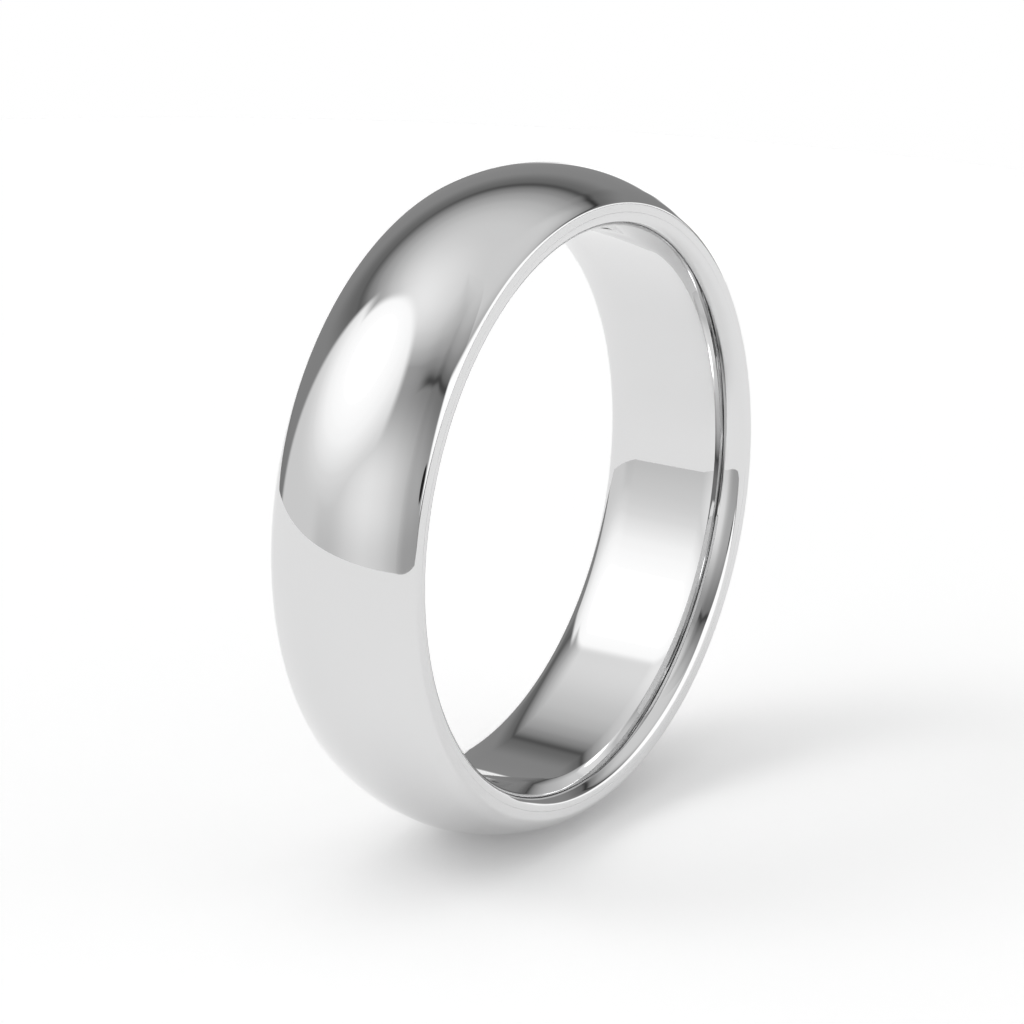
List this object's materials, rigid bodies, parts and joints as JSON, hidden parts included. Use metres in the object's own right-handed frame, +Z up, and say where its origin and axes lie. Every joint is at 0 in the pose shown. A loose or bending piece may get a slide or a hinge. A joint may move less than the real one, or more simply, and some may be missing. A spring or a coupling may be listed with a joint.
{
  "type": "wedding band",
  "caption": "Plain domed wedding band in polished white metal, with a comfort-fit inner sleeve that ends flush with its side faces.",
  "frame": {"origin": "on the ring's axis, halfway across the band's width", "axes": "+Y along the ring's axis; +Z up, with the band standing on its rim; -Y is the side face towards the viewer"},
  "size_m": [0.0204, 0.005, 0.0204],
  "materials": {
    "band_metal": "mirror polish, with soft brushed side faces",
    "sleeve_metal": "mirror polish"
  },
  "bodies": {
    "root": {"outer_band": "band_metal", "inner_sleeve": "sleeve_metal"}
  },
  "joints": []
}
